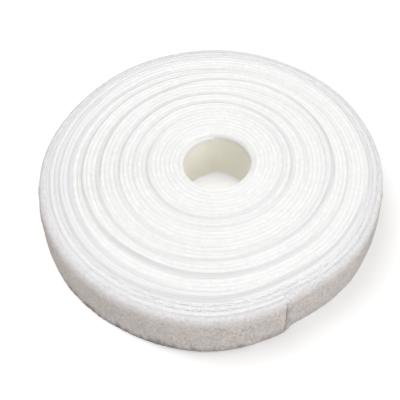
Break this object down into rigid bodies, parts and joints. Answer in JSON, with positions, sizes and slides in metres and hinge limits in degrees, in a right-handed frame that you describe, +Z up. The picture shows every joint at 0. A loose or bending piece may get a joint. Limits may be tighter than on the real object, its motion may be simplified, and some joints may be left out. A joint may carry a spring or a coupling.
{
  "type": "hook and loop tape roll",
  "caption": "Coreless roll of white back-to-back hook and loop tape, lying on its side, with a free end that peels off.",
  "frame": {"origin": "middle of the roll's base, on the surface it lies on", "axes": "+Z up along the bore, -Y towards the free end that shows in the picture, +X to its right"},
  "size_m": [0.1172, 0.1178, 0.025],
  "materials": {
    "loop_layer": "brushed loop pile on a woven ground",
    "hook_layer": "satin film with fine moulded hooks"
  },
  "bodies": {
    "roll": {"hook_layer_wound": "hook_layer", "loop_layer_wound": "loop_layer"},
    "free_end": {"hook_layer_tail": "hook_layer", "loop_layer_tail": "loop_layer"}
  },
  "joints": [
    {"name": "free_end_peel", "type": "hinge", "parent": "roll", "child": "free_end", "pos_m": [-0.01078, -0.05821, 0.01], "axis": [0, 0, -1], "range_deg": [0, 90]}
  ]
}
